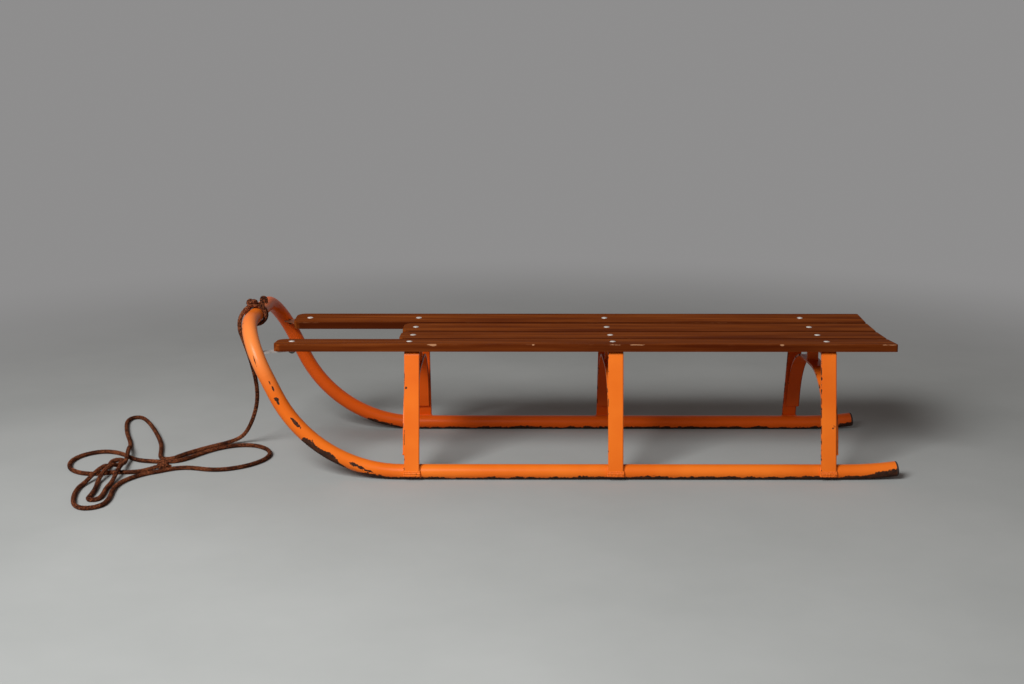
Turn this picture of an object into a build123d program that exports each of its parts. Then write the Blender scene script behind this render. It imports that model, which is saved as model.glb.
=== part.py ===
from build123d import *
import math
import os

# Snow sled: one bent steel tube makes both runners and the front hoop, three welded
# flat-bar trestles carry four wooden slats, and a tow rope hangs from the hoop.
# +X points forward to the hoop, +Y to the left, +Z up. The origin is on the ground
# under the middle of the sled.

# Runner and hoop tube
tube_diameter = 26.0
tube_wall = 2.0
runner_spacing = 320.0
runner_length = 851.0
tail_length = 90.0
tail_bend_radius = 640.0
front_bend_radius = 236.0
front_bend_angle = 65.0
hoop_upright = 39.0
hoop_corner_radius = 86.0

# Tube end plugs
plug_flange = 3.5
plug_edge_radius = 2.5
plug_stem = 16.0
plug_clearance = 0.3

# Trestles, placed from the tube's rear end
trestle_places = (121.0, 485.0, 834.0)
arch_offsets = (-4.5, 0.0, 3.0)
trestle_names = ("rear", "middle", "front")
bar_width = 26.0
bar_thickness = 4.0
bar_bend_radius = 5.0
leg_splay = 11.9
leg_foot_drop = 6.0
leg_saddle_depth = 1.2
arch_crown_top = 174.0
arch_radius = 120.0
arch_foot_height = 46.0
arch_width = 25.0
stay_width = 20.0
stay_thickness = 5.0

# Seat slats on a shallow dished bar
seat_height = 227.0
seat_dish_radius = 1600.0
slat_width = 65.0
slat_gap = 7.0
slat_thickness = 13.0
long_slat_length = 1066.0
short_slat_length = 857.0
slat_rear_setback = 5.0
slat_front_corner = 16.0
slat_rear_corner = 4.0
slat_edge_radius = 1.6
seat_break_share = 0.45

# Straps from the long slats' front ends to the tube
strap_bolt_setback = 28.0
strap_width = 20.0
strap_thickness = 2.5
strap_end_margin = 12.0
strap_corner = 7.0

# Tow rope and its two knots
rope_diameter = 8.0
knot_wraps = 3
knot_wrap_pitch = 7.6
knot_wrap_clearance = 0.15
knot_edge_share = 0.4
knot_ball_inset = 2.0
knot_ball_size = 20.0
knot_collar_diameter = 10.0
knot_collar_length = 5.0
end_knot_size = 19.0

# Derived sizes
tube_radius = tube_diameter / 2
bore_radius = tube_radius - tube_wall
runner_y = runner_spacing / 2
bend = math.radians(front_bend_angle)
lean = Vector(math.cos(bend), 0, math.sin(bend))
bend_run = front_bend_radius * math.sin(bend)
bend_rise = front_bend_radius * (1 - math.cos(bend))
tip_run = bend_run + (hoop_upright + hoop_corner_radius) * lean.X
overall_length = runner_length + tip_run + tube_radius
rear_x = -overall_length / 2
bend_x = rear_x + runner_length
tail_x = rear_x + tail_length
tail_angle = math.asin((tail_length - plug_flange) / tail_bend_radius)
hoop_x = bend_x + tip_run
hoop_z = tube_radius + bend_rise + (hoop_upright + hoop_corner_radius) * lean.Z

os.makedirs("parts", exist_ok=True)


def save(shape, name):
    solids = shape.solids()
    result = solids[0] if len(solids) == 1 else Compound(children=list(solids))
    result.label = name
    export_step(result, f"parts/{name}.step")
    print(name, len(solids), round(sum(s.volume for s in solids) / 1000, 2), "cm3")
    return result


def arc(centre, u, v, radius, start, end):
    """Arc round a centre in the plane of the unit vectors u and v, by three angles."""
    spots = []
    for angle in (start, (start + end) / 2, end):
        spots.append(centre + u * (radius * math.cos(angle)) + v * (radius * math.sin(angle)))
    return ThreePointArc(*spots)


def mirrored_y(shape):
    return shape.mirror(Plane.XZ)


# Runner and hoop: straight runner, long front bend, then the hoop's corner in the
# leaning plane, and the same on the other side
forward = Vector(1, 0, 0)
left = Vector(0, 1, 0)
upward = Vector(0, 0, 1)
quarter = math.pi / 2
tail_centre = Vector(tail_x, runner_y, tube_radius + tail_bend_radius)
front_centre = Vector(bend_x, runner_y, tube_radius + front_bend_radius)
corner_start = Vector(bend_x + bend_run, runner_y, tube_radius + bend_rise) + lean * hoop_upright
corner_centre = corner_start - left * hoop_corner_radius
half_path = [
    arc(tail_centre, forward, upward, tail_bend_radius, -quarter - tail_angle, -quarter),
    Line((tail_x, runner_y, tube_radius), (bend_x, runner_y, tube_radius)),
    arc(front_centre, forward, upward, front_bend_radius, -quarter, -quarter + bend),
    Line(corner_start - lean * hoop_upright, corner_start),
    arc(corner_centre, left, lean, hoop_corner_radius, 0, quarter),
]
crossing = Line(
    (hoop_x, runner_y - hoop_corner_radius, hoop_z), (hoop_x, hoop_corner_radius - runner_y, hoop_z)
)
edges = [piece.edge() for piece in half_path]
tube_path = Wire(edges + [crossing.edge()] + [mirrored_y(e) for e in reversed(edges)])
tail_end = tube_path @ 0
tail_out = (tube_path % 0) * -1
end_plane = Plane(origin=tail_end, z_dir=tail_out * -1)


def tube_solid(radius):
    return sweep(end_plane * Circle(radius), path=tube_path)


tube_outer = tube_solid(tube_radius)
runner_hoop = tube_outer - tube_solid(bore_radius)
save(runner_hoop, "runner_hoop")

# End plugs: a rounded flange on the tube's end and a stem inside it
plug_plane = Plane(origin=tail_end, z_dir=tail_out)
flange = extrude(plug_plane * Circle(tube_radius), plug_flange)
flange = fillet(flange.edges().sort_by(lambda e: (e.center() - tail_end).length)[-1:], plug_edge_radius)
stem_plane = Plane(origin=tail_end, z_dir=tail_out * -1)
stem = extrude(stem_plane * Circle(bore_radius - plug_clearance), plug_stem)
plug = flange + stem
save(plug, "tube_plug_left")
save(mirrored_y(plug), "tube_plug_right")


# Flat bar bent in the trestle's plane, from its outer line
def offset_points(points, distance):
    """The line parallel to an open run of points, on its right-hand side."""
    moved = []
    for i, point in enumerate(points):
        before = (points[i] - points[max(i - 1, 0)]).normalized() if i else None
        after = (points[i + 1] - points[i]).normalized() if i + 1 < len(points) else None
        first = before or after
        second = after or before
        middle = (first + second).normalized()
        normal = Vector(middle.Y, -middle.X)
        moved.append(point + normal * (distance / middle.dot(first)))
    return moved


def bent_bar(points, radii, width, thickness, place):
    """Flat bar along an outer line of (y, z) points, bent left to right over the top."""
    inner = offset_points(points, thickness)
    outer_line = FilletPolyline(*points, radius=[r + thickness for r in radii])
    inner_line = FilletPolyline(*inner, radius=list(radii))
    ends = [Line(points[0], inner[0]), Line(points[-1], inner[-1])]
    face = make_face(outer_line.edges() + inner_line.edges() + [e.edge() for e in ends])
    plane = Plane(origin=(place - width / 2, 0, 0), x_dir=(0, 1, 0), z_dir=(1, 0, 0))
    return extrude(plane * face, width)


def meet(a, along_a, b, along_b):
    """Where two lines in the trestle's plane meet."""
    cross = along_a.X * along_b.Y - along_a.Y * along_b.X
    step = ((b - a).X * along_b.Y - (b - a).Y * along_b.X) / cross
    return a + along_a * step


# Outline of the trestles in (y, z)
splay = math.radians(leg_splay)
slat_step = (slat_width + slat_gap) / seat_dish_radius
dish_z = seat_height - slat_thickness + seat_dish_radius
up_leg = Vector(math.sin(splay), math.cos(splay))
away = Vector(-math.cos(splay), math.sin(splay))
tube_centre = Vector(-runner_y, tube_radius)
leg_inner = tube_centre + away * (tube_radius - leg_saddle_depth)
leg_outer = leg_inner + away * bar_thickness


def dish_vertex(turn):
    radius = seat_dish_radius / math.cos(slat_step / 2)
    return Vector(radius * math.sin(turn), dish_z - radius * math.cos(turn))


facets = [dish_vertex(k * slat_step) for k in (-1, 0, 1)]
outer_slope = Vector(math.cos(-1.5 * slat_step), math.sin(-1.5 * slat_step))
shoulder = meet(leg_outer, up_leg, facets[0], outer_slope)
foot = leg_outer - up_leg * leg_foot_drop
bow_points = [foot, shoulder] + facets + [Vector(-shoulder.X, shoulder.Y), Vector(-foot.X, foot.Y)]
facet_radius = seat_break_share * slat_gap / math.tan(slat_step / 2)
bow_radii = [bar_bend_radius] + [facet_radius] * 3 + [bar_bend_radius]

# Arch inside the bow: along both legs and over a rounded crown, welded a little off its middle
arch_corner = meet(leg_inner, up_leg, Vector(0, arch_crown_top), Vector(1, 0))
arch_foot = meet(leg_inner, up_leg, Vector(0, arch_foot_height), Vector(1, 0))
arch_points = [arch_foot, arch_corner, Vector(-arch_corner.X, arch_corner.Y)]
arch_points.append(Vector(-arch_foot.X, arch_foot.Y))

for name, distance, offset in zip(trestle_names, trestle_places, arch_offsets):
    place = rear_x + distance
    bow = bent_bar(bow_points, bow_radii, bar_width, bar_thickness, place)
    save(bow - tube_outer, f"trestle_{name}_bow")
    arch_place = place + offset
    arch = bent_bar(arch_points, [arch_radius] * 2, arch_width, bar_thickness, arch_place)
    save(arch, f"trestle_{name}_arch")
    stay_top = facets[1].Y - bar_thickness / 2
    stay_height = stay_top - arch_crown_top
    stay = Box(stay_width, stay_thickness, stay_height)
    stay = Pos(place + offset / 2, 0, arch_crown_top + stay_height / 2) * stay
    save(stay - bow, f"trestle_{name}_stay")

# Seat slats, each flat on its facet of the dished bars
slat_rear_x = rear_x + slat_rear_setback
slat_table = (
    ("slat_outer_right", -1.5, long_slat_length),
    ("slat_inner_right", -0.5, short_slat_length),
    ("slat_inner_left", 0.5, short_slat_length),
    ("slat_outer_left", 1.5, long_slat_length),
)


def slat_plane(steps, x):
    """Plane on a slat's underside: its normal is up, its x is forward."""
    turn = steps * slat_step
    origin = Vector(x, seat_dish_radius * math.sin(turn), dish_z - seat_dish_radius * math.cos(turn))
    return Plane(origin=origin, x_dir=(1, 0, 0), z_dir=(0, -math.sin(turn), math.cos(turn)))


for name, steps, length in slat_table:
    outline = Rectangle(length, slat_width)
    corners = outline.vertices().sort_by(Axis.X)
    outline = fillet(corners[:2], slat_rear_corner)
    outline = fillet(outline.vertices().sort_by(Axis.X)[-2:], slat_front_corner)
    slat = extrude(slat_plane(steps, slat_rear_x + length / 2) * outline, slat_thickness)
    up = slat_plane(steps, 0).z_dir
    top_face = slat.faces().sort_by(lambda f: f.center().dot(up))[-1]
    save(fillet(top_face.edges(), slat_edge_radius), name)

# Front straps: a flat strip under each long slat's front end, out to the tube
def tube_at_height(height):
    """The point at a height on the left half of the tube's middle line."""
    low, high = 0, 0.5
    for _ in range(40):
        middle = (low + high) / 2
        if (tube_path @ middle).Z < height:
            low = middle
        else:
            high = middle
    return tube_path @ middle


strap_x = slat_rear_x + long_slat_length - strap_bolt_setback
bolt_plane = slat_plane(1.5, strap_x)
strap_rise = (runner_y - bolt_plane.origin.Y) * math.tan(1.5 * slat_step)
strap_end = bolt_plane.to_local_coords(tube_at_height(bolt_plane.origin.Z + strap_rise))
strap_turn = math.degrees(math.atan2(strap_end.Y, strap_end.X))
strap_reach = math.hypot(strap_end.X, strap_end.Y)
strip = Rectangle(strap_reach + strap_end_margin, strap_width)
strip = fillet(strip.vertices().sort_by(Axis.X)[:2], strap_corner)
strip = Rot(0, 0, strap_turn) * (Pos((strap_reach - strap_end_margin) / 2, 0) * strip)
strap = extrude(bolt_plane * strip, -strap_thickness) - tube_outer
save(strap, "front_strap_left")
save(mirrored_y(strap), "front_strap_right")

# Tow rope: from the knot on the hoop down to the ground, round its loops and over itself
rope_radius = rope_diameter / 2
route = [
    (566.4, 44.2, 276.4), (576, 52, 266.6), (578.5, 57, 243), (573, 49, 221), (565, 32, 181),
    (560.8, 8, 132.6), (564.8, -14, 91.3), (580, -34, 49), (600, -48, 16), (626, -50, 4.2),
    (656, -19, 4.2), (683, 14, 4.2), (699, 39, 4.2), (705, 53, 4.2), (716, 60, 4.2),
    (728, 56, 4.2), (735, 40, 4.2), (741, 10, 4.2), (753, -38, 4.2), (776, -98, 4.2),
    (803, -160, 4.2), (822, -197, 4.2), (834, -217, 4.2), (845, -226, 4.2), (856, -223, 4.2),
    (861, -209, 4.2), (860, -188, 4.2), (852, -156, 4.2), (836, -104, 4.2), (815, -52, 4.2),
    (804, -14, 4.2), (797, 20, 13.8), (787, 64, 13.8), (783, 92, 7.5), (781, 116, 13.8),
    (778, 156, 13.8), (777, 192, 4.2), (777.5, 226, 4.2), (774, 250, 4.2), (772.5, 266, 4.2),
    (773.2, 278.6, 4.2), (777.7, 285, 4.2), (785.3, 286, 4.2), (791.3, 281, 4.2), (791.5, 266, 4.2),
    (793, 241, 4.2), (797, 214, 4.2), (802, 192, 4.2), (801, 162, 13.8), (798, 122, 13.8),
    (795, 98, 4.2), (793, 81, 4.2), (792.5, 70, 4.2), (797.2, 64, 4.2), (804.8, 63, 4.2),
    (810.8, 68, 4.2), (812.5, 82, 4.2), (808.5, 104, 4.2), (808, 128, 13.8), (813, 166, 13.8),
    (822, 196, 4.2), (825, 220, 4.2), (822, 250, 4.2), (815, 280, 4.2), (806, 307, 4.2),
    (794, 323, 4.2), (780, 328, 4.2), (767, 323, 4.2), (758, 311, 4.2), (756, 292, 4.2),
    (758, 268, 4.2), (763, 241, 4.2), (765, 214, 4.2), (761, 190, 4.2), (752, 170, 4.2),
    (741, 154, 4.2), (728, 141, 4.2), (713, 131.5, 4.2), (701, 121.5, 4.2), (687, 113.5, 4.2),
    (670, 110, 4.2), (652, 114, 4.2), (629, 122, 4.2), (606, 122, 4.2), (583, 112, 4.2),
    (562, 95, 4.2), (545, 70, 4.2), (537, 42, 4.2), (540, 14, 4.2), (554, -11, 4.2),
    (576, -28, 4.2), (603, -30, 4.2), (628, -18, 4.2), (650, 3, 4.2), (667, 29, 4.2),
    (680, 53, 4.2), (695, 71, 4.2), (717, 76, 4.2), (743, 73, 4.2), (767, 67, 4.2),
    (787, 50, 4.2), (804, 30, 4.2), (824, 16, 4.2), (846, 12, 4.2), (866, 23, 4.2),
    (881, 44, 4.2), (886, 72, 4.2), (881, 100, 4.2), (868, 125, 4.2), (849, 141, 4.2),
    (826, 148, 4.2), (803, 141, 4.2), (781, 136, 4.2), (757, 137, 4.2), (738.2, 127.6, 4.2),
    (722.3, 118.3, 7.4),
]
route_points = [Vector(*p) for p in route]


def corner_radii(points):
    """The largest radius that each corner's two runs allow."""
    radii = []
    for before, here, after in zip(points, points[1:], points[2:]):
        turn = math.radians((here - before).get_angle(after - here))
        shorter = min((here - before).length, (after - here).length)
        radii.append(0.45 * shorter / math.tan(turn / 2))
    return radii


radii = corner_radii(route_points)
print("rope radii", [round(r) for r in radii], "least", round(min(radii), 1))
rope_path = FilletPolyline(*route_points, radius=radii)
rope_start = Plane(origin=route_points[0], z_dir=route_points[1] - route_points[0])
rope = sweep(rope_start * Circle(rope_radius), path=rope_path)
rope_length = rope_path.length
print("rope length", round(rope_length, 1), "volume share", round(
    rope.volume / (math.pi * rope_radius**2 * rope_length), 4))
save(rope, "tow_rope")


# Knots: a ball on a round stem whose foot is the rope's cut end
def ball_rise(stem_diameter, stem_length, ball_size):
    """How far the ball's middle stands from the stem's foot."""
    return stem_length + math.sqrt(ball_size**2 - stem_diameter**2) / 2


def ball_on_stem(stem_diameter, stem_length, ball_size):
    """The stem starts at the origin and points up, and the ball closes it."""
    middle = ball_rise(stem_diameter, stem_length, ball_size)
    stem_radius = stem_diameter / 2
    ball_radius = ball_size / 2
    outline = [
        Line((0, 0), (stem_radius, 0)),
        Line((stem_radius, 0), (stem_radius, stem_length)),
        ThreePointArc((stem_radius, stem_length), (ball_radius, middle), (0, middle + ball_radius)),
        Line((0, middle + ball_radius), (0, 0)),
    ]
    return revolve(Plane.XZ * make_face([piece.edge() for piece in outline]), Axis.Z)


first_way = (route_points[1] - route_points[0]).normalized()
last_way = (route_points[-1] - route_points[-2]).normalized()
hoop_ball = ball_on_stem(knot_collar_diameter, knot_collar_length, knot_ball_size)
hoop_knot = Plane(origin=route_points[0], z_dir=first_way * -1) * hoop_ball
ball_back = ball_rise(knot_collar_diameter, knot_collar_length, knot_ball_size)
ball_y = (route_points[0] - first_way * ball_back).Y
wrap_inner = tube_radius + knot_wrap_clearance
wrap_length = knot_wrap_pitch * knot_wraps
wraps = Cylinder(wrap_inner + rope_diameter, wrap_length)
wraps = fillet(wraps.edges().filter_by(GeomType.CIRCLE), knot_edge_share * rope_diameter)
wraps -= Cylinder(wrap_inner, wrap_length)
wraps = Pos(hoop_x, ball_y - wrap_length / 2 - knot_ball_inset, hoop_z) * (Rot(90, 0, 0) * wraps)
save(wraps + hoop_knot - tube_outer, "hoop_knot")

end_ball = ball_on_stem(rope_diameter, knot_collar_length, end_knot_size)
save(Plane(origin=route_points[-1], z_dir=last_way) * end_ball, "end_knot")

print("length", round(overall_length, 1), "hoop height", round(hoop_z + tube_radius, 1))
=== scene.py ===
import bpy
import bmesh
import math
import random
from mathutils import Matrix, Vector


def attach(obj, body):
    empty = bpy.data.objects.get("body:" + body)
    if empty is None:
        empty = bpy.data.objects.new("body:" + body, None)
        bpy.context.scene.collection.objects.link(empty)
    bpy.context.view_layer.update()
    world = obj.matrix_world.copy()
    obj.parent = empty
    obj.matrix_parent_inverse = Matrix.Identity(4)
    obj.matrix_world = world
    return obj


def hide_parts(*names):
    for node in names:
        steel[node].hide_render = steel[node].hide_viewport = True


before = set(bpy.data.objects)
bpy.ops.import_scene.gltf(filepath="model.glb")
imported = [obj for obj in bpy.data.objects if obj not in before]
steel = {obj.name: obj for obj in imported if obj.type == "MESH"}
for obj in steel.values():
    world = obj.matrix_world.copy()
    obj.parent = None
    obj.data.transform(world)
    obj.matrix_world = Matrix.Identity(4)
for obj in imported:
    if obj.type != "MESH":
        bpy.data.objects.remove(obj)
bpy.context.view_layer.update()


# Studio
# A pale concrete floor without an end, one large soft window high on the camera's left,
# and a weak light across from it. The camera stands low at the sled's left side.
class Value:
    """One output of a material's nodes. Sums on it add Math nodes."""

    def __init__(self, finish, socket):
        self.finish = finish
        self.socket = socket

    def math(self, operation, *others):
        settings = {"operation": operation}
        values = {i: v for i, v in enumerate((self,) + others)}
        return self.finish.node("ShaderNodeMath", settings, values)

    def swapped(self, operation, other):
        return self.finish.node("ShaderNodeMath", {"operation": operation}, {0: other, 1: self})

    def __add__(self, other):
        return self.math("ADD", other)

    def __sub__(self, other):
        return self.math("SUBTRACT", other)

    def __mul__(self, other):
        return self.math("MULTIPLY", other)

    def __truediv__(self, other):
        return self.math("DIVIDE", other)

    def __rsub__(self, other):
        return self.swapped("SUBTRACT", other)

    def __neg__(self):
        return self * -1

    __radd__ = __add__

    def rise(self, low, high):
        """0 below low, 1 above high and smooth between them."""
        settings = {"interpolation_type": "SMOOTHSTEP"}
        return self.finish.node("ShaderNodeMapRange", settings, {0: self, 1: low, 2: high})

    def both(self, other):
        return self.math("MULTIPLY", other)

    def either(self, other):
        return self.math("MAXIMUM", other)


class Finish:
    """A material under construction, around its Principled shader."""

    def __init__(self, name):
        self.material = bpy.data.materials.new(name)
        self.material.use_nodes = True
        self.tree = self.material.node_tree
        self.shader = self.tree.nodes["Principled BSDF"]
        self.output = self.tree.nodes["Material Output"]

    def node(self, kind, settings=None, values=None, out=0):
        made = self.tree.nodes.new(kind)
        for key, setting in (settings or {}).items():
            if key == "stops":
                stops = made.color_ramp.elements
                while len(stops) < len(setting):
                    stops.new(0.5)
                for stop, (place, colour) in zip(stops, setting):
                    stop.position = place
                    stop.color = tuple(colour) + (1,)
            else:
                setattr(made, key, setting)
        for key, value in (values or {}).items():
            if isinstance(value, Value):
                self.tree.links.new(value.socket, made.inputs[key])
            else:
                made.inputs[key].default_value = value
        return Value(self, made.outputs[out])

    def place(self, scale=(1, 1, 1), at=(0, 0, 0)):
        spot = self.node("ShaderNodeTexCoord", out="Object")
        values = {"Vector": spot, "Scale": scale, "Location": at}
        return self.node("ShaderNodeMapping", None, values)

    def axes(self):
        spot = self.node("ShaderNodeTexCoord", out="Object")
        split = self.tree.nodes.new("ShaderNodeSeparateXYZ")
        self.tree.links.new(spot.socket, split.inputs[0])
        return [Value(self, out) for out in split.outputs]

    def noise(self, scale, detail=4, rough=0.55, stretch=(1, 1, 1), at=(0, 0, 0)):
        spot = self.place(stretch, at)
        values = {"Vector": spot, "Scale": scale, "Detail": detail, "Roughness": rough}
        return self.node("ShaderNodeTexNoise", None, values)

    def ramp(self, value, stops):
        return self.node("ShaderNodeValToRGB", {"stops": stops}, {0: value})

    def levels(self, value, stops):
        """A ramp between plain numbers."""
        return self.ramp(value, [(place, (level,) * 3) for place, level in stops])

    def mix(self, share, first, second):
        values = {0: share}
        for key, colour in ((6, first), (7, second)):
            values[key] = colour if isinstance(colour, Value) else tuple(colour) + (1,)
        return self.node("ShaderNodeMix", {"data_type": "RGBA"}, values, out=2)

    def patches(self, spots, ragged):
        """1 inside any of the uneven patches given as (middle, half sizes, tilt about y)."""
        found = None
        spot = self.node("ShaderNodeTexCoord", out="Object")
        for middle, halves, tilt in spots:
            turn = (0, math.radians(tilt), 0)
            values = {"Vector": spot, "Location": middle, "Scale": halves, "Rotation": turn}
            inside = self.node("ShaderNodeMapping", {"vector_type": "TEXTURE"}, values)
            reach = self.node("ShaderNodeVectorMath", {"operation": "LENGTH"}, {0: inside}, out=1)
            patch = 1 - (reach + ragged).rise(0.92, 1.0)
            found = patch if found is None else found.either(patch)
        return found

    def set(self, **sockets):
        for key, value in sockets.items():
            socket = self.shader.inputs[key.replace("_", " ")]
            if isinstance(value, Value):
                self.tree.links.new(value.socket, socket)
            else:
                socket.default_value = value

    def bump(self, height, strength, distance):
        values = {"Height": height, "Strength": strength, "Distance": distance}
        self.set(Normal=self.node("ShaderNodeBump", None, values))


backdrop_colour = (0.272, 0.268, 0.268)
floor_tones = [(0.3, (0.39, 0.405, 0.395)), (0.7, (0.455, 0.47, 0.46))]
bounce_colour = (0.26, 0.215, 0.19)
fill_colour = (0.105, 0.088, 0.082)
floor_half = 14
floor_fades_from = 0.8
floor_fades_to = 2.5


def studio_floor():
    finish = Finish("studio_floor")
    x, y, _ = finish.axes()
    rays = finish.tree.nodes.new("ShaderNodeLightPath")
    seen = Value(finish, rays.outputs["Is Camera Ray"])
    seen = seen.either(Value(finish, rays.outputs["Is Glossy Ray"]))
    seen = seen.either(Value(finish, rays.outputs["Is Transmission Ray"]))
    reach = (x * x + y * y).math("SQRT")
    far = reach.rise(floor_fades_from, floor_fades_to)
    tone = finish.ramp(finish.noise(1.6, 5, 0.6), floor_tones)
    pale = finish.mix(seen, bounce_colour, tone)
    finish.set(Base_Color=pale, Roughness=0.8, Specular_IOR_Level=0.2)
    shine = {"Color": backdrop_colour + (1,), "Strength": 1.0}
    glow = finish.node("ShaderNodeEmission", None, shine)
    blend = finish.node("ShaderNodeMixShader", None, {0: far.both(seen), 2: glow})
    finish.tree.links.new(finish.shader.outputs[0], blend.socket.node.inputs[1])
    finish.tree.links.new(blend.socket, finish.output.inputs[0])
    return finish.material


floor_mesh = bmesh.new()
bmesh.ops.create_grid(floor_mesh, x_segments=1, y_segments=1, size=floor_half)
floor_data = bpy.data.meshes.new("floor")
floor_mesh.to_mesh(floor_data)
floor_mesh.free()
floor = bpy.data.objects.new("floor", floor_data)
bpy.context.scene.collection.objects.link(floor)
floor_data.materials.append(studio_floor())

world = bpy.data.worlds.new("studio")
bpy.context.scene.world = world
world.use_nodes = True
sky = world.node_tree
rays = sky.nodes.new("ShaderNodeLightPath")
pick = sky.nodes.new("ShaderNodeMix")
pick.data_type = "RGBA"
pick.inputs[6].default_value = fill_colour + (1,)
pick.inputs[7].default_value = backdrop_colour + (1,)
shown = rays.outputs["Is Camera Ray"]
for kind in ("Is Glossy Ray", "Is Transmission Ray"):
    larger = sky.nodes.new("ShaderNodeMath")
    larger.operation = "MAXIMUM"
    sky.links.new(shown, larger.inputs[0])
    sky.links.new(rays.outputs[kind], larger.inputs[1])
    shown = larger.outputs[0]
sky.links.new(shown, pick.inputs[0])
sky.links.new(pick.outputs[2], sky.nodes["Background"].inputs[0])


def soft_light(name, spot, target, size, power):
    lamp = bpy.data.lights.new(name, "AREA")
    lamp.shape = "RECTANGLE"
    lamp.size, lamp.size_y = size
    lamp.energy = power
    holder = bpy.data.objects.new(name, lamp)
    holder.location = spot
    holder.rotation_euler = (Vector(target) - Vector(spot)).to_track_quat("-Z", "Y").to_euler()
    bpy.context.scene.collection.objects.link(holder)


sled_middle = (0, 0, 0.1)
soft_light("window", spot=(1.4, 2.35, 2.05), target=sled_middle, size=(1.4, 1.2), power=115)
soft_light("room", spot=(-1.8, 2.2, 1.3), target=sled_middle, size=(1.4, 1.4), power=3)

camera_spot = Vector((0.0906, 2.3635, 0.7113))
camera_way = Vector((0.0029, -0.978, -0.2087))
camera_data = bpy.data.cameras.new("camera")
camera_data.lens = 46.99
camera_data.sensor_width = 36
camera = bpy.data.objects.new("camera", camera_data)
camera.location = camera_spot
camera.rotation_euler = camera_way.to_track_quat("-Z", "Y").to_euler()
bpy.context.scene.collection.objects.link(camera)
bpy.context.scene.camera = camera
bpy.context.scene.view_settings.view_transform = "Standard"


# Runner and hoop
# One steel tube, bent cold into both runners and the front hoop and dipped in orange
# enamel, which snow and stones have chipped off along the underside and the front bend.
runner_end_x = 0.28565
bend_radius = 0.236
tube_radius = 0.013
tail_start_x = -0.47535
tail_radius = 0.640
bare_rim = (0.5608, 0.5624)
enamel_orange = (0.86, 0.186, 0.015)
enamel_deep = (0.77, 0.142, 0.009)
# A redder enamel for the far side, a painted shade
enamel_painted_far_shade = (0.80, 0.110, 0.006)
# A paler enamel for the painted highlight on the hoop
enamel_painted_highlight = (0.88, 0.33, 0.10)
# A dark enamel for the painted shade down the bars' trailing edges
enamel_edge_shade = (0.17, 0.022, 0.003)
bare_steel = (0.024, 0.011, 0.007)
bare_rust = (0.085, 0.026, 0.010)

# The enamel is gone below a ragged line along the tube. Each stop is a place along it, 0
# behind to 1 in front, and how deep the line lies there: 0 is wear_top above the tube's
# middle, and 1 is wear_span lower. The line ends on the front bend, between two heights.
wear_start_x = -0.57
wear_length = 1.14
wear_top = 0.006
wear_span = 0.020
wear_end_heights = (0.095, 0.112)
near_wear = [
    (0.0, 0.06), (0.03, 0.25), (0.055, 0.44), (0.09, 0.56), (0.47, 0.55), (0.52, 0.64),
    (0.70, 0.66), (0.76, 0.58), (0.80, 0.58), (0.825, 0.85), (0.838, 0.80), (0.852, 0.26),
    (0.880, 0.24), (0.896, 0.42), (0.902, 1.0),
]
far_wear = [
    (0.0, 0.20), (0.02, 0.42), (0.06, 0.62), (0.78, 0.64), (0.812, 0.62), (0.826, 0.60),
    (0.840, 0.95),
]

# The hoop's near side is a little paler, a painted highlight
highlight_heights = (0.14, 0.22)
highlight_sides = (0.06, 0.14)
highlight_most = 0.42

# Single chips on the near side, each by its middle, half sizes and tilt
enamel_knocks = [
    ((0.4655, 0.172, 0.1035), (0.0120, 0.0060, 0.0027), -50),
    ((0.4600, 0.172, 0.0975), (0.0034, 0.0060, 0.0026), 0),
    ((0.4955, 0.172, 0.1440), (0.0046, 0.0060, 0.0034), -55),
    ((0.4935, 0.172, 0.1385), (0.0040, 0.0060, 0.0018), -60),
    ((0.5010, 0.172, 0.1630), (0.0048, 0.0060, 0.0018), -65),
    ((0.5060, 0.172, 0.1725), (0.0034, 0.0060, 0.0011), -70),
    ((0.5305, 0.165, 0.2090), (0.0110, 0.0090, 0.0009), -70),
    ((0.5630, 0.112, 0.2630), (0.0050, 0.0022, 0.0024), 0),
    ((0.5620, 0.121, 0.2550), (0.0050, 0.0026, 0.0028), 0),
    ((0.3680, 0.171, 0.0295), (0.0085, 0.0060, 0.0036), -25),
    ((0.3560, 0.171, 0.0230), (0.0070, 0.0060, 0.0034), -20),
    ((0.3430, 0.171, 0.0180), (0.0080, 0.0060, 0.0024), -15),
]


def enamel_with_chips(finish, chips, painted_edge_shade=None, painted_highlight=None):
    """Orange enamel, redder on the far side as a painted shade, with dark steel where chips is 1.

    Where they are 1, the third argument paints shade and the fourth a paler highlight.
    """
    drift = finish.noise(9, 3, 0.5)
    orange = finish.ramp(drift, [(0.35, enamel_deep), (0.62, enamel_orange)])
    _, y, _ = finish.axes()
    # The far side is redder, a painted shade
    orange = finish.mix(y.rise(-0.15, 0.0), enamel_painted_far_shade, orange)
    if painted_edge_shade is not None:
        orange = finish.mix(painted_edge_shade, orange, enamel_edge_shade)
    if painted_highlight is not None:
        orange = finish.mix(painted_highlight, orange, enamel_painted_highlight)
    rust = finish.noise(160, 5, 0.7)
    steel_colour = finish.ramp(rust, [(0.42, bare_steel), (0.66, bare_rust)])
    finish.set(Base_Color=finish.mix(chips, orange, steel_colour))
    finish.set(Roughness=0.27 + chips * 0.45 + finish.noise(45, 4, 0.6) * 0.12)
    finish.set(Specular_IOR_Level=0.2)
    peel = finish.noise(210, 2, 0.5)
    finish.bump(peel * 0.14 - chips + rust * chips * 0.5, 0.5, 0.0006)
    return finish.material


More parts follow.
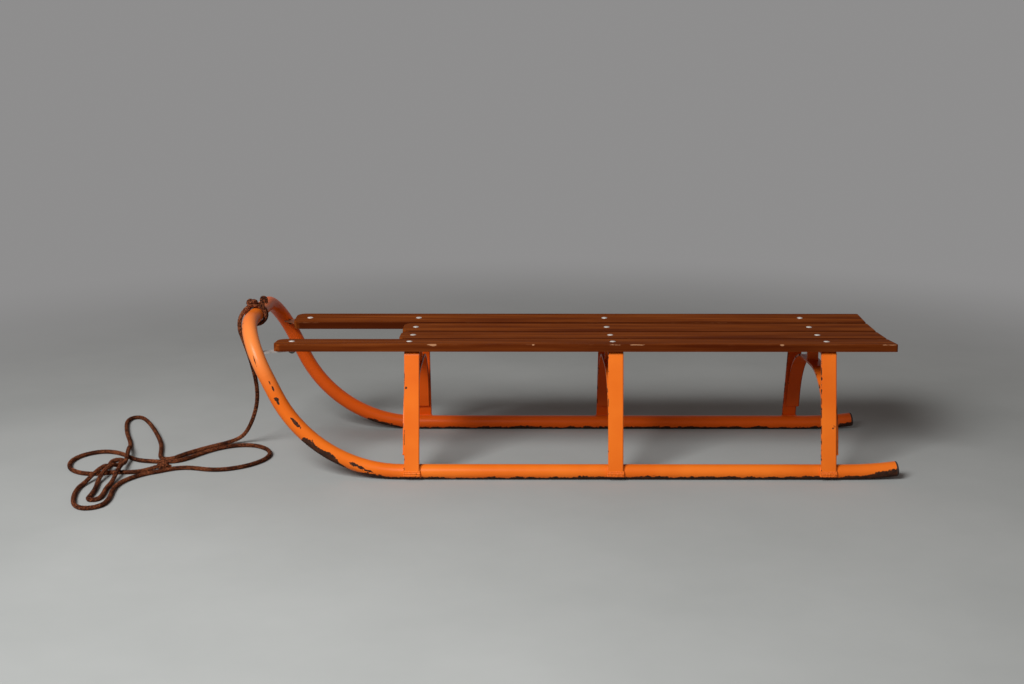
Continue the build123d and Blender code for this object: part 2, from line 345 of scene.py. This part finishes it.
def tube_enamel():
    finish = Finish("chipped_enamel")
    x, y, z = finish.axes()
    ahead = x - runner_end_x
    rise = z - (tube_radius + bend_radius)
    below_bend = (ahead * ahead + rise * rise).math("SQRT") - bend_radius
    behind = x - tail_start_x
    lift = z - (tube_radius + tail_radius)
    below_tail = (behind * behind + lift * lift).math("SQRT") - tail_radius
    is_bend = ahead.rise(-0.001, 0.001)
    is_straight = behind.rise(-0.001, 0.001)
    below = below_bend * is_bend + (tube_radius - z) * (1 - is_bend)
    below = below * is_straight + below_tail * (1 - is_straight)
    scallop = finish.noise(42, 6, 0.62)
    flake = finish.noise(170, 6, 0.7)
    rough_edge = (scallop - 0.5) * 0.015 + (flake - 0.5) * 0.010
    along = (x - wear_start_x) / wear_length
    near_share = finish.levels(along, near_wear)
    far_share = finish.levels(along, far_wear)
    share = far_share + (near_share - far_share) * y.rise(-0.01, 0.01)
    worn = (below + rough_edge - share * wear_span + wear_top).rise(-0.0003, 0.0003)
    worn = worn.both(1 - z.rise(*wear_end_heights))
    rim = (-x).rise(*bare_rim)
    knocks = finish.patches(enamel_knocks, (flake - 0.5) * 2.2)
    dots = finish.noise(24, 3, 0.5).rise(0.735, 0.745)
    chips = worn.either(rim).either(knocks).either(dots)
    # The upper near side of the hoop is paler, a painted highlight
    painted_highlight = z.rise(*highlight_heights) * y.rise(*highlight_sides) * highlight_most
    return enamel_with_chips(finish, chips, painted_highlight=painted_highlight)


def dress(node, material):
    slots = steel[node].data.materials
    if len(slots) == 0:
        slots.append(material)
    for i in range(len(slots)):
        slots[i] = material


dress("runner_hoop", tube_enamel())


# Tube plugs
# Two caps of dark moulded rubber. Each is held by its stem, pushed into an open rear end of
# the tube, and they have grown dusty.
def plug_rubber():
    finish = Finish("plug_rubber")
    dust = finish.noise(70, 4, 0.6)
    black = finish.ramp(dust, [(0.35, (0.016, 0.009, 0.007)), (0.7, (0.055, 0.028, 0.018))])
    finish.set(Base_Color=black, Roughness=0.7)
    finish.bump(finish.noise(320, 4, 0.6), 0.3, 0.0004)
    return finish.material


rubber = plug_rubber()
dress("tube_plug_left", rubber)
dress("tube_plug_right", rubber)


# Trestles
# Flat steel bar bent into legs and a crossbar, with an inner arch and a stay, welded
# together and to the tube before the enamel went on. Their sharp edges have chipped.
trestle_places = {"rear": -0.44435, "middle": -0.08035, "front": 0.26865}
arch_offsets = {"rear": -0.0045, "middle": 0.0, "front": 0.003}
half_bow = 0.013
half_arch = 0.0125

# Single chips on the near legs, each by its middle, half sizes and tilt
leg_knocks = [
    ((-0.4317, 0.158, 0.1740), (0.0024, 0.02, 0.0042), 0),
    ((-0.4316, 0.160, 0.1530), (0.0016, 0.02, 0.0034), 0),
    ((-0.4318, 0.166, 0.1225), (0.0015, 0.02, 0.0030), 0),
    ((0.2782, 0.160, 0.1577), (0.0026, 0.02, 0.0030), 0),
]


def trestle_enamel(name, middle, half_bar, edge_wear):
    finish = Finish("enamel_" + name)
    x, _, _ = finish.axes()
    off = x - middle
    leading = off.rise(half_bar - 0.0015, half_bar - 0.0004)
    trailing = (-off).rise(half_bar - 0.0012, half_bar - 0.0002)
    nick = finish.noise(95, 4, 0.6)
    lead_nick = leading.both(nick.rise(0.60 - edge_wear, 0.615 - edge_wear))
    trail_nick = trailing.both(nick.rise(0.64, 0.655))
    knocks = finish.patches(leg_knocks, (nick - 0.5) * 1.5)
    dots = finish.noise(30, 3, 0.5, at=(3.1, 1.7, 0.4)).rise(0.72, 0.735)
    # A darker strip down each bar's trailing edge, a painted shade on the side away from the window
    painted_edge_shade = (-off).rise(half_bar - 0.0018, half_bar - 0.0006) * 0.75
    chips = lead_nick.either(trail_nick).either(knocks).either(dots)
    return enamel_with_chips(finish, chips, painted_edge_shade=painted_edge_shade)


for name, edge_wear in (("rear", 0.09), ("middle", 0.0), ("front", 0.02)):
    place = trestle_places[name]
    dress(f"trestle_{name}_bow", trestle_enamel(name + "_bow", place, half_bow, edge_wear))
    place += arch_offsets[name]
    arch_enamel = trestle_enamel(name + "_arch", place, half_arch, edge_wear=0.02)
    dress(f"trestle_{name}_arch", arch_enamel)
    dress(f"trestle_{name}_stay", arch_enamel)


# Weld beads
# Rippled arc-weld beads, painted over: round each leg's foot on the tube, and where the
# arches and stays meet the bows.
def put(shape, collected, matrix):
    spare = bpy.data.meshes.new("spare")
    shape.to_mesh(spare)
    spare.transform(matrix)
    collected.from_mesh(spare)
    bpy.data.meshes.remove(spare)


def piece_from(shape, name, material, angle=35):
    data = bpy.data.meshes.new(name)
    shape.to_mesh(data)
    shape.free()
    data.materials.append(material)
    data.shade_smooth()
    data.set_sharp_from_angle(angle=math.radians(angle))
    made = bpy.data.objects.new(name, data)
    bpy.context.scene.collection.objects.link(made)
    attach(made, "root")
    return made


def even_spots(spots, gap):
    """The same line with its points a fixed gap apart."""
    kept = [spots[0]]
    left = gap
    for before, after in zip(spots, spots[1:]):
        run = (after - before).length
        done = 0
        while run - done >= left:
            done += left
            kept.append(before.lerp(after, done / run))
            left = gap
        left -= run - done
    kept[-1] = spots[-1]
    return kept


chance = random.Random(4)
ripple = bmesh.new()
bmesh.ops.create_uvsphere(ripple, u_segments=8, v_segments=5, radius=1)
beads = bmesh.new()


def weld(corners, radius):
    """A row of overlapping ripples along the line through the corners."""
    for spot in even_spots([Vector(corner) for corner in corners], radius * 0.95):
        sizes = [radius * chance.uniform(0.85, 1.15) for _ in range(3)]
        tilt = Matrix.Rotation(chance.uniform(0, math.tau), 4, "Z")
        put(ripple, beads, Matrix.Translation(spot) @ Matrix.Diagonal(sizes + [1]) @ tilt)


# Straight beads across a bar: half length, distance from the sled's middle, height, radius
foot_beads = [
    (0.0128, 0.1747, 0.0164, 0.0020), (0.0128, 0.1751, 0.0135, 0.0024),
    (0.0128, 0.1746, 0.0100, 0.0024), (0.0118, 0.1688, 0.0243, 0.0019),
]
arch_beads = [(0.0115, 0.1640, 0.0454, 0.0018)]
stay_beads = [(0.0088, 0.0030, 0.1747, 0.0017), (0.0088, 0.0030, 0.2078, 0.0017)]

# The bead up each edge of a foot: distances from the sled's middle and heights
foot_edge = [(0.1738, 0.0095), (0.1732, 0.0165), (0.1696, 0.0238)]
foot_edge_off = 0.0133
foot_edge_radius = 0.0019


def weld_across(middle, side, rows):
    """Straight beads across one side's bar, whose middle is at this x."""
    for half, out, height, radius in rows:
        weld([(middle - half, side * out, height), (middle + half, side * out, height)], radius)


for name, place in trestle_places.items():
    for side in (1, -1):
        weld_across(place, side, foot_beads)
        for edge in (place - foot_edge_off, place + foot_edge_off):
            weld([(edge, side * out, height) for out, height in foot_edge], foot_edge_radius)
        weld_across(place + arch_offsets[name], side, arch_beads)
        weld_across(place + arch_offsets[name] / 2, side, stay_beads)
ripple.free()


def weld_enamel():
    finish = Finish("enamel_welds")
    return enamel_with_chips(finish, finish.noise(150, 4, 0.6).rise(0.66, 0.68))


piece_from(beads, "weld_beads", weld_enamel(), angle=80)


# Slats
# Four planed softwood boards with rounded edges, stained reddish brown and varnished. The
# varnish has worn off the upper edges, mostly on the near board.
seat_dish_radius = 1.6
slat_step = 0.045
slat_half = 0.0325
slat_thickness = 0.013
seat_low = 0.214

# Each board by how many slat_steps round the dish it lies from the middle
slats = {
    "slat_outer_right": -1.5, "slat_inner_right": -0.5, "slat_inner_left": 0.5,
    "slat_outer_left": 1.5,
}
stain_tones = [
    (0.38, (0.088, 0.014, 0.002)), (0.49, (0.172, 0.036, 0.005)), (0.62, (0.280, 0.070, 0.012)),
]
# A dark colour for the painted shade in the gaps between the boards
painted_gap_shade = (0.040, 0.006, 0.001)
# A darker colour for the side faces, partly stain and partly painted shade in the gaps
side_stain_and_gap_shade = (0.050, 0.008, 0.002)
rubbed_stain = (0.26, 0.095, 0.035)
bare_wood = (0.46, 0.235, 0.12)

# Bare spots along the near board's upper edge, each by its middle, half sizes and tilt
board_knocks = [
    ((0.2330, 0.1390, 0.2318), (0.0080, 0.0022, 0.0022), 0),
    ((0.0610, 0.1395, 0.2318), (0.0022, 0.0016, 0.0016), 0),
    ((-0.0790, 0.1398, 0.2320), (0.0130, 0.0011, 0.0012), 0),
    ((-0.1160, 0.1398, 0.2320), (0.0160, 0.0012, 0.0013), 0),
    ((-0.3625, 0.1395, 0.2318), (0.0030, 0.0016, 0.0016), 0),
    ((-0.5450, 0.1398, 0.2320), (0.0150, 0.0010, 0.0011), 0),
]


def varnished_board(name, steps):
    """The board's own across and up follow its turn, and the nearest board is worn most."""
    nearest = steps > 1
    wear = -0.01 if nearest else -0.05
    finish = Finish("varnish_" + name)
    _, y, z = finish.axes()
    turn = steps * slat_step
    across = y * math.cos(turn) + (z - seat_low - seat_dish_radius) * math.sin(turn)
    up = (z - seat_low - seat_dish_radius) * math.cos(turn) - y * math.sin(turn) + seat_dish_radius
    shift = (0.37 * steps, 0.11 * steps, 0.2)
    grain = finish.noise(30, 6, 0.65, (0.10, 1.6, 1.6), shift)
    streak = finish.noise(120, 4, 0.6, (0.03, 1.4, 1.4), shift)
    blend = grain * 0.6 + streak * 0.4
    stain = finish.ramp(blend, stain_tones)
    off_middle = across.math("ABSOLUTE")
    edge = off_middle.rise(slat_half - 0.0028, slat_half - 0.0008)
    face = off_middle.rise(slat_half - 0.0011, slat_half - 0.0002)
    top = up.rise(slat_thickness - 0.0026, slat_thickness - 0.0010)
    knock = finish.noise(26, 5, 0.7, (0.5, 1, 1), (1.3 * steps, 0.2, 0.7))
    rubbed = edge.both(top).both(knock.rise(0.52 - wear, 0.70 - wear))
    bare = edge.both(top).both(knock.rise(0.66 - wear, 0.675 - wear))
    if nearest:
        flake = finish.noise(240, 4, 0.7, (0.4, 1, 1))
        bare = bare.either(finish.patches(board_knocks, (flake - 0.45) * 2.6))
    # Darker bands along the upper edges are a painted shade from the gaps between the boards, on the
    # nearest board only at its far edge
    soil_and_gap_shade = off_middle.rise(slat_half - 0.0050, slat_half - 0.0022)
    if nearest:
        soil_and_gap_shade = soil_and_gap_shade.both((-across).rise(0, 0.001))
    colour = finish.mix(soil_and_gap_shade * 0.5, stain, painted_gap_shade)
    # The side faces are a darker stain, and darker still on the inner boards as a painted shade in the
    # gaps
    colour = finish.mix(face * (0.5 if nearest else 0.8), colour, side_stain_and_gap_shade)
    colour = finish.mix(rubbed * 0.45, colour, rubbed_stain)
    colour = finish.mix(bare * 0.85, colour, bare_wood)
    rough = 0.52 + bare * 0.2 + streak * 0.2
    finish.set(Base_Color=colour, Roughness=rough, Specular_IOR_Level=0.015)
    finish.bump(streak * 0.5 + grain * 0.5 - bare * 0.6, 0.4, 0.0006)
    return finish.material


for name, steps in slats.items():
    dress(name, varnished_board(name, steps))


# Front straps
# Narrow strips of zinc-plated steel, bolted under the long boards and welded to the hoop.
# The far one is reddish brown, a painted shade with the enamel's orange cast in it.
def dull_zinc(name, dark, pale, metal):
    finish = Finish(name)
    bloom = finish.noise(90, 5, 0.65)
    finish.set(Base_Color=finish.ramp(bloom, [(0.35, dark), (0.65, pale)]), Metallic=metal)
    finish.set(Roughness=0.42 + bloom * 0.2)
    finish.bump(finish.noise(400, 3, 0.6), 0.2, 0.0002)
    return finish.material


strap_zinc = dull_zinc("strap_zinc", (0.40, 0.39, 0.37), (0.62, 0.60, 0.57), 0.5)
dress("front_strap_left", strap_zinc)
# The far strap's reddish brown is a painted shade with the enamel's orange cast in it
zinc_painted_shade = dull_zinc("zinc_painted_shade", (0.20, 0.050, 0.015), (0.34, 0.115, 0.045), 0.0)
dress("front_strap_right", zinc_painted_shade)


# Bolts
# Zinc-plated carriage bolts through the boards and the crossbars, with a low domed head on
# a thin washer above and a hexagon nut on the thread below.
head_radius = 0.0047
head_height = 0.0011
dome_steps = 6
washer_radius = 0.0053
washer_height = 0.0003
nut_radius = 0.0058
nut_height = 0.0040
nut_bevel = 0.0006
thread_radius = 0.0030
thread_tail = 0.0015
thread_sunk = 0.001
bar_thickness = 0.004
strap_thickness = 0.0025
strap_bolt_x = 0.47765

# The x of each crossbar's bolts, on the four boards in the order of slats
bolt_places = {
    "front": (0.2733, 0.2736, 0.2736, 0.2747),
    "middle": (-0.0758, -0.0755, -0.0771, -0.0766),
    "rear": (-0.4434, -0.4456, -0.4451, -0.4454),
}


def turned(shape, outline, steps=20):
    """A round piece from an outline of (radius, height) points, standing on the origin."""
    rim = [shape.verts.new((r, 0, h)) for r, h in outline]
    edges = [shape.edges.new(pair) for pair in zip(rim, rim[1:])]
    bmesh.ops.spin(
        shape, geom=rim + edges, cent=(0, 0, 0), axis=(0, 0, 1), angle=math.tau, steps=steps,
        use_merge=True,
    )
    bmesh.ops.remove_doubles(shape, verts=shape.verts, dist=0.00001)
    bmesh.ops.recalc_face_normals(shape, faces=shape.faces)


def bolt_head():
    shape = bmesh.new()
    outline = [(0, 0), (washer_radius, 0), (washer_radius, washer_height)]
    outline.append((head_radius, washer_height))
    for k in range(1, dome_steps + 1):
        turn = math.pi / 2 * k / dome_steps
        outline.append((head_radius * math.cos(turn), washer_height + head_height * math.sin(turn)))
    turned(shape, outline)
    return shape


def bolt_nut():
    shape = bmesh.new()
    bmesh.ops.create_cone(
        shape, cap_ends=True, segments=6, radius1=nut_radius, radius2=nut_radius, depth=nut_height
    )
    bmesh.ops.translate(shape, verts=shape.verts, vec=(0, 0, -nut_height / 2))
    rims = [e for e in shape.edges if abs(e.verts[0].co.z - e.verts[1].co.z) < 0.0001]
    bmesh.ops.bevel(
        shape, geom=rims, offset=nut_bevel, segments=1, profile=0.5, affect="EDGES", material=-1
    )
    thread_end = -nut_height - thread_tail
    outline = [
        (0, thread_end), (thread_radius * 0.8, thread_end), (thread_radius, thread_end + nut_bevel),
        (thread_radius, -thread_sunk), (0, -thread_sunk),
    ]
    turned(shape, outline, steps=12)
    return shape


def slat_matrix(steps, x, height):
    """The place of a point on a board: its own up, and a height above its underside."""
    turn = steps * slat_step
    up = Vector((0, -math.sin(turn), math.cos(turn)))
    low = seat_low + seat_dish_radius * (1 - math.cos(turn))
    spot = Vector((x, seat_dish_radius * math.sin(turn), low))
    return Matrix.Translation(spot + up * height) @ Matrix.Rotation(turn, 4, "X")


heads = bmesh.new()
nuts = bmesh.new()
one_head = bolt_head()
one_nut = bolt_nut()
bolt_spots = [
    (steps, x, bar_thickness)
    for row in bolt_places.values() for steps, x in zip(slats.values(), row)
]
for name in ("slat_outer_right", "slat_outer_left"):
    bolt_spots.append((slats[name], strap_bolt_x, strap_thickness))
for steps, x, below in bolt_spots:
    spin = Matrix.Rotation(chance.uniform(0, math.tau), 4, "Z")
    put(one_head, heads, slat_matrix(steps, x, slat_thickness) @ spin)
    put(one_nut, nuts, slat_matrix(steps, x, -below) @ spin)
one_head.free()
one_nut.free()
bright_zinc = dull_zinc("bolt_zinc", (0.52, 0.49, 0.45), (0.86, 0.82, 0.76), 0.4)
piece_from(heads, "bolt_heads", bright_zinc)
# The nuts have a darker zinc than the heads, a painted shade under the boards
painted_shade_zinc = dull_zinc("nut_zinc_painted_shade", (0.13, 0.12, 0.11), (0.30, 0.29, 0.27), 0.85)
piece_from(nuts, "bolt_nuts", painted_shade_zinc, angle=25)


# Tow rope
# A braided rope of brown-dyed hemp, tied round the hoop. It hangs to the ground and lies
# there in loose loops, over its own turns, and ends in a knot.
rope_radius = 0.004
braid_fullness = 1.03
rope_route = [
    (0.5664, 0.0442, 0.2764), (0.576, 0.052, 0.2666), (0.5785, 0.057, 0.243), (0.573, 0.049, 0.221),
    (0.565, 0.032, 0.181), (0.5608, 0.008, 0.1326), (0.5648, -0.014, 0.0913), (0.58, -0.034, 0.049),
    (0.6, -0.048, 0.016), (0.626, -0.05, 0.0042), (0.656, -0.019, 0.0042), (0.683, 0.014, 0.0042),
    (0.699, 0.039, 0.0042), (0.705, 0.053, 0.0042), (0.716, 0.06, 0.0042), (0.728, 0.056, 0.0042),
    (0.735, 0.04, 0.0042), (0.741, 0.01, 0.0042), (0.753, -0.038, 0.0042), (0.776, -0.098, 0.0042),
    (0.803, -0.16, 0.0042), (0.822, -0.197, 0.0042), (0.834, -0.217, 0.0042), (0.845, -0.226, 0.0042),
    (0.856, -0.223, 0.0042), (0.861, -0.209, 0.0042), (0.86, -0.188, 0.0042), (0.852, -0.156, 0.0042),
    (0.836, -0.104, 0.0042), (0.815, -0.052, 0.0042), (0.804, -0.014, 0.0042), (0.797, 0.02, 0.0138),
    (0.787, 0.064, 0.0138), (0.783, 0.092, 0.0075), (0.781, 0.116, 0.0138), (0.778, 0.156, 0.0138),
    (0.777, 0.192, 0.0042), (0.7775, 0.226, 0.0042), (0.774, 0.25, 0.0042), (0.7725, 0.266, 0.0042),
    (0.7732, 0.2786, 0.0042), (0.7777, 0.285, 0.0042), (0.7853, 0.286, 0.0042), (0.7913, 0.281, 0.0042),
    (0.7915, 0.266, 0.0042), (0.793, 0.241, 0.0042), (0.797, 0.214, 0.0042), (0.802, 0.192, 0.0042),
    (0.801, 0.162, 0.0138), (0.798, 0.122, 0.0138), (0.795, 0.098, 0.0042), (0.793, 0.081, 0.0042),
    (0.7925, 0.07, 0.0042), (0.7972, 0.064, 0.0042), (0.8048, 0.063, 0.0042), (0.8108, 0.068, 0.0042),
    (0.8125, 0.082, 0.0042), (0.8085, 0.104, 0.0042), (0.808, 0.128, 0.0138), (0.813, 0.166, 0.0138),
    (0.822, 0.196, 0.0042), (0.825, 0.22, 0.0042), (0.822, 0.25, 0.0042), (0.815, 0.28, 0.0042),
    (0.806, 0.307, 0.0042), (0.794, 0.323, 0.0042), (0.78, 0.328, 0.0042), (0.767, 0.323, 0.0042),
    (0.758, 0.311, 0.0042), (0.756, 0.292, 0.0042), (0.758, 0.268, 0.0042), (0.763, 0.241, 0.0042),
    (0.765, 0.214, 0.0042), (0.761, 0.19, 0.0042), (0.752, 0.17, 0.0042), (0.741, 0.154, 0.0042),
    (0.728, 0.141, 0.0042), (0.713, 0.1315, 0.0042), (0.701, 0.1215, 0.0042), (0.687, 0.1135, 0.0042),
    (0.67, 0.11, 0.0042), (0.652, 0.114, 0.0042), (0.629, 0.122, 0.0042), (0.606, 0.122, 0.0042),
    (0.583, 0.112, 0.0042), (0.562, 0.095, 0.0042), (0.545, 0.07, 0.0042), (0.537, 0.042, 0.0042),
    (0.54, 0.014, 0.0042), (0.554, -0.011, 0.0042), (0.576, -0.028, 0.0042), (0.603, -0.03, 0.0042),
    (0.628, -0.018, 0.0042), (0.65, 0.003, 0.0042), (0.667, 0.029, 0.0042), (0.68, 0.053, 0.0042),
    (0.695, 0.071, 0.0042), (0.717, 0.076, 0.0042), (0.743, 0.073, 0.0042), (0.767, 0.067, 0.0042),
    (0.787, 0.05, 0.0042), (0.804, 0.03, 0.0042), (0.824, 0.016, 0.0042), (0.846, 0.012, 0.0042),
    (0.866, 0.023, 0.0042), (0.881, 0.044, 0.0042), (0.886, 0.072, 0.0042), (0.881, 0.1, 0.0042),
    (0.868, 0.125, 0.0042), (0.849, 0.141, 0.0042), (0.826, 0.148, 0.0042), (0.803, 0.141, 0.0042),
    (0.781, 0.136, 0.0042), (0.757, 0.137, 0.0042), (0.7382, 0.1276, 0.0042), (0.7223, 0.1183, 0.0074),
]


def smooth_line(points):
    """Points along the NURBS spline whose control points are given."""
    line = bpy.data.curves.new("line", "CURVE")
    line.dimensions = "3D"
    spline = line.splines.new("NURBS")
    spline.points.add(len(points) - 1)
    for spot, point in zip(spline.points, points):
        spot.co = tuple(point) + (1,)
    spline.order_u = 3
    spline.use_endpoint_u = True
    spline.resolution_u = 24
    holder = bpy.data.objects.new("line", line)
    bpy.context.scene.collection.objects.link(holder)
    bpy.context.view_layer.update()
    drawn = bpy.data.meshes.new_from_object(holder)
    spots = [vert.co.copy() for vert in drawn.vertices]
    bpy.data.objects.remove(holder)
    bpy.data.meshes.remove(drawn)
    bpy.data.curves.remove(line)
    return spots


def carried_frames(spots):
    """A side and an up direction at each point, carried along without twist."""
    last = len(spots) - 1
    ways = [(spots[min(i + 1, last)] - spots[max(i - 1, 0)]).normalized() for i in range(last + 1)]
    side = ways[0].orthogonal().normalized()
    frames = []
    for before, way in zip([ways[0]] + ways, ways):
        side = before.rotation_difference(way) @ side
        side = (side - way * side.dot(way)).normalized()
        frames.append((side, way.cross(side)))
    return frames


braid_strands = 4
braid_lay = 0.021
strand_radius = 0.0015
strand_weave = 0.0003
core_radius = 0.0024


def braided(name, points, radius, gap=0.0018):
    """A round braid of eight strands over a core, along a line of points."""
    spots = even_spots(points, gap)
    frames = carried_frames(spots)
    share = radius / rope_radius
    middle = radius - (strand_radius + strand_weave) * share
    line = bpy.data.curves.new(name, "CURVE")
    line.dimensions = "3D"
    line.bevel_depth = strand_radius * share
    line.bevel_resolution = 1
    line.use_fill_caps = True
    paths = []
    for hand in (1, -1):
        for k in range(braid_strands):
            path = []
            for i, (spot, (side, up)) in enumerate(zip(spots, frames)):
                turn = hand * math.tau * i * gap / (braid_lay * share) + math.tau * k / braid_strands
                out = middle + hand * strand_weave * share * math.cos(braid_strands * turn)
                path.append(spot + side * (out * math.cos(turn)) + up * (out * math.sin(turn)))
            paths.append((path, 1))
    paths.append((spots[::2] + spots[-1:], core_radius / strand_radius))
    for path, thickness in paths:
        spline = line.splines.new("POLY")
        spline.points.add(len(path) - 1)
        for point, spot in zip(spline.points, path):
            point.co = tuple(spot) + (1,)
            point.radius = thickness
    holder = bpy.data.objects.new(name + "_line", line)
    bpy.context.scene.collection.objects.link(holder)
    bpy.context.view_layer.update()
    data = bpy.data.meshes.new_from_object(holder)
    bpy.data.objects.remove(holder)
    bpy.data.curves.remove(line)
    data.shade_smooth()
    made = bpy.data.objects.new(name, data)
    bpy.context.scene.collection.objects.link(made)
    return made, spots


def hemp():
    finish = Finish("brown_hemp")
    fleck = finish.noise(420, 4, 0.7)
    soil_and_gap_shade = finish.noise(28, 4, 0.6)
    dye = finish.ramp(
        soil_and_gap_shade * 0.3 + fleck * 0.7,
        [(0.42, (0.010, 0.003, 0.002)), (0.5, (0.070, 0.017, 0.006)), (0.59, (0.27, 0.085, 0.034))],
    )
    finish.set(Base_Color=dye, Roughness=0.85, Specular_IOR_Level=0.1)
    finish.bump(fleck, 0.5, 0.0004)
    return finish.material


hemp_material = hemp()
rope_line = smooth_line(rope_route)
tow_rope, rope_spots = braided("tow_rope_braid", rope_line, rope_radius * braid_fullness)
tow_rope.data.materials.append(hemp_material)
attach(tow_rope, "root")
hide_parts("tow_rope")


# Knots
# The rope goes twice round the hoop and is tied off with an overhand knot on top of it,
# its cut end standing up behind. A second overhand knot stops its loose end.
hoop_middle = Vector((0.5524, 0, 0.2626))
wrap_radius = 0.0177
wrap_points = 26
wrap_start_degrees = 100
wrap_step_degrees = 30
wrap_left_y = 0.0322
wrap_advance = 0.00063
hoop_knot_middle = Vector((0.5573, 0.0372, 0.2836))
hoop_knot_sizes = (0.0025, 0.0028, 0.0036)
hoop_knot_entry = (0.5635, 0.0418, 0.2790)
cut_end = [
    (0.5435, 0.0155, 0.2820), (0.5450, 0.0150, 0.2875), (0.5432, 0.0147, 0.2908),
    (0.5388, 0.0144, 0.2908), (0.5365, 0.0142, 0.2870), (0.5372, 0.0140, 0.2810),
]
end_knot_middle = Vector((0.7105, 0.1120, 0.0079))
end_knot_sizes = (0.0027, 0.0025, 0.0036)
end_knot_entry = (0.7180, 0.1158, 0.0078)
end_tail = [(0.7040, 0.1082, 0.0062), (0.6995, 0.1048, 0.0042)]
overhand_points = 18
overhand_opening = 0.7
knot_rope_radius = 0.0038
knot_rope_gap = 0.0011


def overhand(middle, right, up, sizes):
    """Control points of an overhand knot, both ends leaving at its lower side."""
    towards = right.cross(up)
    points = []
    for k in range(overhand_points):
        t = math.pi + overhand_opening
        t += k * (math.tau - 2 * overhand_opening) / (overhand_points - 1)
        a = (math.sin(t) + 2 * math.sin(2 * t)) * sizes[0]
        b = (math.cos(t) - 2 * math.cos(2 * t)) * sizes[1]
        points.append(middle + right * a + up * b + towards * (-math.sin(3 * t) * sizes[2]))
    return points


hoop_rope = [Vector(rope_route[0]), Vector(hoop_knot_entry)]
hoop_rope += overhand(
    hoop_knot_middle, Vector((1, 0.1, 0)).normalized(), Vector((0, 0, 1)), hoop_knot_sizes
)
for k in range(wrap_points):
    turn = math.radians(wrap_start_degrees + wrap_step_degrees * k)
    ahead, above = wrap_radius * math.cos(turn), wrap_radius * math.sin(turn)
    hoop_rope.append(hoop_middle + Vector((ahead, wrap_left_y - wrap_advance * k, above)))
hoop_rope += [Vector(spot) for spot in cut_end]

end_rope = [Vector(rope_route[-1]), Vector(end_knot_entry)]
end_rope += overhand(
    end_knot_middle, Vector((0.86, 0.50, 0.0)).normalized(),
    Vector((0.48, -0.83, 0.1)).normalized(), end_knot_sizes,
)
end_rope += [Vector(spot) for spot in end_tail]

for name, points in (("hoop_knot", hoop_rope), ("end_knot", end_rope)):
    knot, _ = braided(name + "_rope", smooth_line(points), knot_rope_radius, knot_rope_gap)
    knot.data.materials.append(hemp_material)
    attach(knot, "root")
    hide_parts(name)
